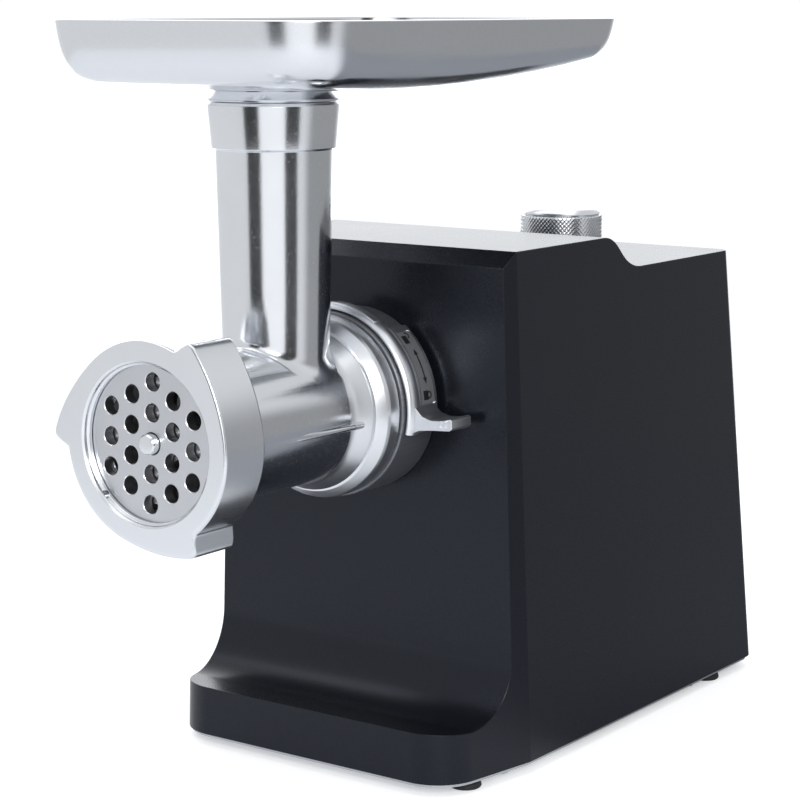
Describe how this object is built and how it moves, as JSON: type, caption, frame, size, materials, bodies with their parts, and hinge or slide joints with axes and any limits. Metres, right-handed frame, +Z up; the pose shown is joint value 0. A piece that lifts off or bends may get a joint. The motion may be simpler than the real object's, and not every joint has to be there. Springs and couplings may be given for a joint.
{
  "type": "electric meat grinder",
  "caption": "Upright electric meat grinder: metal head with feed tube, tray, lobed ring nut and hole plate, locked by a lever ring to a black motor housing.",
  "frame": {"origin": "centre of the overall footprint, on the surface the feet stand on", "axes": "+Z up, the head and its hole plate point towards -Y, +X is the side the lock lever is on"},
  "size_m": [0.1572, 0.341, 0.3047],
  "materials": {
    "black_shell": "satin",
    "satin_aluminium": "satin",
    "cast_aluminium": "polished casting",
    "ground_steel": "ground",
    "dark_collar": "satin",
    "grey_label": "satin",
    "plain_steel": "plain",
    "bronze": "plain",
    "copper": "enamelled wire",
    "white_nylon": "moulded",
    "dark_nylon": "moulded",
    "rubber": "matt",
    "circuit_board": "satin"
  },
  "bodies": {
    "base": {"housing_shell": "black_shell", "base_plate": "plain_steel", "base_screw_1": "plain_steel", "base_screw_2": "plain_steel", "base_screw_3": "plain_steel", "base_screw_4": "plain_steel", "front_left_foot": "rubber", "front_right_foot": "rubber", "rear_left_foot": "rubber", "rear_right_foot": "rubber", "head_collar": "dark_collar", "gearbox_housing": "dark_nylon", "gearbox_cover": "dark_nylon", "gearbox_screw_1": "plain_steel", "gearbox_screw_2": "plain_steel", "gearbox_screw_3": "plain_steel", "gearbox_screw_4": "plain_steel", "output_bearing": "bronze", "stator_core": "plain_steel", "upper_field_coil": "copper", "lower_field_coil": "copper", "front_bearing": "plain_steel", "rear_bearing": "plain_steel", "front_bracket": "plain_steel", "rear_bracket": "plain_steel", "left_brush_holder": "bronze", "right_brush_holder": "bronze", "speed_switch": "dark_nylon", "control_board": "circuit_board", "mains_inlet": "dark_nylon"},
    "head": {"head_casting": "cast_aluminium", "hole_plate": "ground_steel", "auger_washer": "bronze"},
    "ring_nut": {"ring_nut": "satin_aluminium"},
    "feed_tray": {"feed_tray": "satin_aluminium"},
    "feed_screw": {"auger": "cast_aluminium", "knife": "ground_steel"},
    "lock_ring": {"lock_ring": "satin_aluminium", "lock_label": "grey_label"},
    "output_drive": {"output_shaft": "plain_steel", "output_gear": "plain_steel"},
    "second_gear": {"second_reduction_gear": "white_nylon"},
    "first_gear": {"first_reduction_gear": "white_nylon"},
    "rotor": {"armature": "plain_steel", "commutator": "copper", "cooling_fan": "dark_nylon"},
    "control_knob": {"control_knob": "satin_aluminium"}
  },
  "joints": [
    {"name": "rotor_spin", "type": "hinge", "parent": "base", "child": "rotor", "pos_m": [0, -0.0029, 0.0614], "axis": [0, -1, 0], "continuous": true},
    {"name": "first_gear_spin", "type": "hinge", "parent": "base", "child": "first_gear", "pos_m": [-0.00356, -0.0029, 0.08816], "axis": [0, -1, 0], "continuous": true},
    {"name": "second_gear_spin", "type": "hinge", "parent": "base", "child": "second_gear", "pos_m": [0.022, -0.0029, 0.11115], "axis": [0, -1, 0], "continuous": true},
    {"name": "output_spin", "type": "hinge", "parent": "base", "child": "output_drive", "pos_m": [0, -0.0029, 0.1504], "axis": [0, -1, 0], "continuous": true},
    {"name": "head_slide", "type": "slide", "parent": "base", "child": "head", "axis": [0, -1, 0], "range_m": [0, 0.05]},
    {"name": "feed_screw_spin", "type": "hinge", "parent": "head", "child": "feed_screw", "pos_m": [0, -0.0029, 0.1504], "axis": [0, -1, 0], "continuous": true},
    {"name": "ring_nut_turn", "type": "hinge", "parent": "head", "child": "ring_nut", "pos_m": [0, -0.1665, 0.1504], "axis": [0, -1, 0], "range_deg": [0, 360]},
    {"name": "tray_lift", "type": "slide", "parent": "head", "child": "feed_tray", "axis": [0, 0, 1], "range_m": [0, 0.04]},
    {"name": "lock_turn", "type": "hinge", "parent": "base", "child": "lock_ring", "pos_m": [0, -0.0495, 0.1504], "axis": [0, -1, 0], "range_deg": [0, 35]},
    {"name": "knob_turn", "type": "hinge", "parent": "base", "child": "control_knob", "pos_m": [0.008, 0.1061, 0.2], "axis": [0, 0, 1], "range_deg": [-60, 60]}
  ],
  "couplings": [
    {"joint": "first_gear_spin", "follows": "rotor_spin", "ratio": -0.2},
    {"joint": "second_gear_spin", "follows": "rotor_spin", "ratio": 0.05},
    {"joint": "output_spin", "follows": "rotor_spin", "ratio": -0.0125},
    {"joint": "feed_screw_spin", "follows": "rotor_spin", "ratio": -0.0125}
  ]
}
